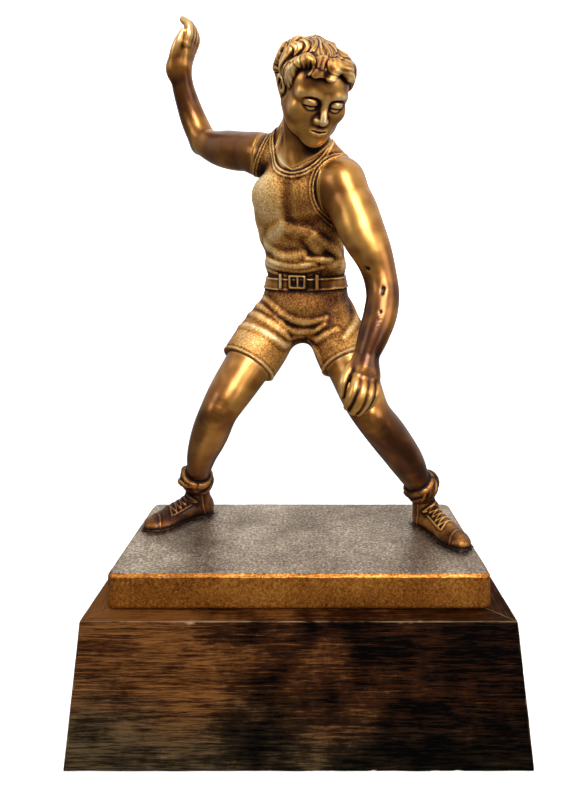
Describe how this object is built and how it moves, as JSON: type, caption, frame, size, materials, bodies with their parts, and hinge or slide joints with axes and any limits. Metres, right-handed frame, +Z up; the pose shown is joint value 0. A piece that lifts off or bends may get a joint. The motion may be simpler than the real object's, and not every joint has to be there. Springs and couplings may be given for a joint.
{
  "type": "figure trophy",
  "caption": "Cast bronze athlete in a wide crouch with one arm raised, on a cast slab fixed to a tapered wooden box base.",
  "frame": {"origin": "centre of the underside, on the surface the trophy stands on", "axes": "+Z up, +Y to the back, +X to the right of someone facing the trophy's front; the athlete's own right side is at -X"},
  "size_m": [0.217, 0.133, 0.3525],
  "materials": {
    "patinated_bronze": "cast bronze with a brown-gold patina, satin on skin and dull on stippled cloth",
    "stained_wood": "dark stained hardwood, satin, worn at the edges",
    "bare_wood": "unfinished softwood",
    "felt": "dark green felt",
    "plain_steel": "plain steel fixings",
    "bronze_dowel": "turned rod"
  },
  "bodies": {
    "root": {"back_board": "stained_wood", "bottom_panel": "bare_wood", "bottom_panel_screws": "plain_steel", "cast_slab": "patinated_bronze", "felt_pad": "felt", "foot_nuts": "plain_steel", "foot_washers": "plain_steel", "front_board": "stained_wood", "glue_blocks": "bare_wood", "head_casting": "patinated_bronze", "left_arm_casting": "patinated_bronze", "left_board": "stained_wood", "left_foot_stud": "plain_steel", "left_hip_dowel": "bronze_dowel", "left_leg_casting": "patinated_bronze", "left_shoulder_dowel": "bronze_dowel", "neck_dowel": "bronze_dowel", "right_arm_casting": "patinated_bronze", "right_board": "stained_wood", "right_foot_stud": "plain_steel", "right_hip_dowel": "bronze_dowel", "right_leg_casting": "patinated_bronze", "right_shoulder_dowel": "bronze_dowel", "slab_screw_washers": "plain_steel", "slab_screws": "plain_steel", "top_panel": "stained_wood", "trunk_casting": "patinated_bronze"}
  },
  "joints": []
}
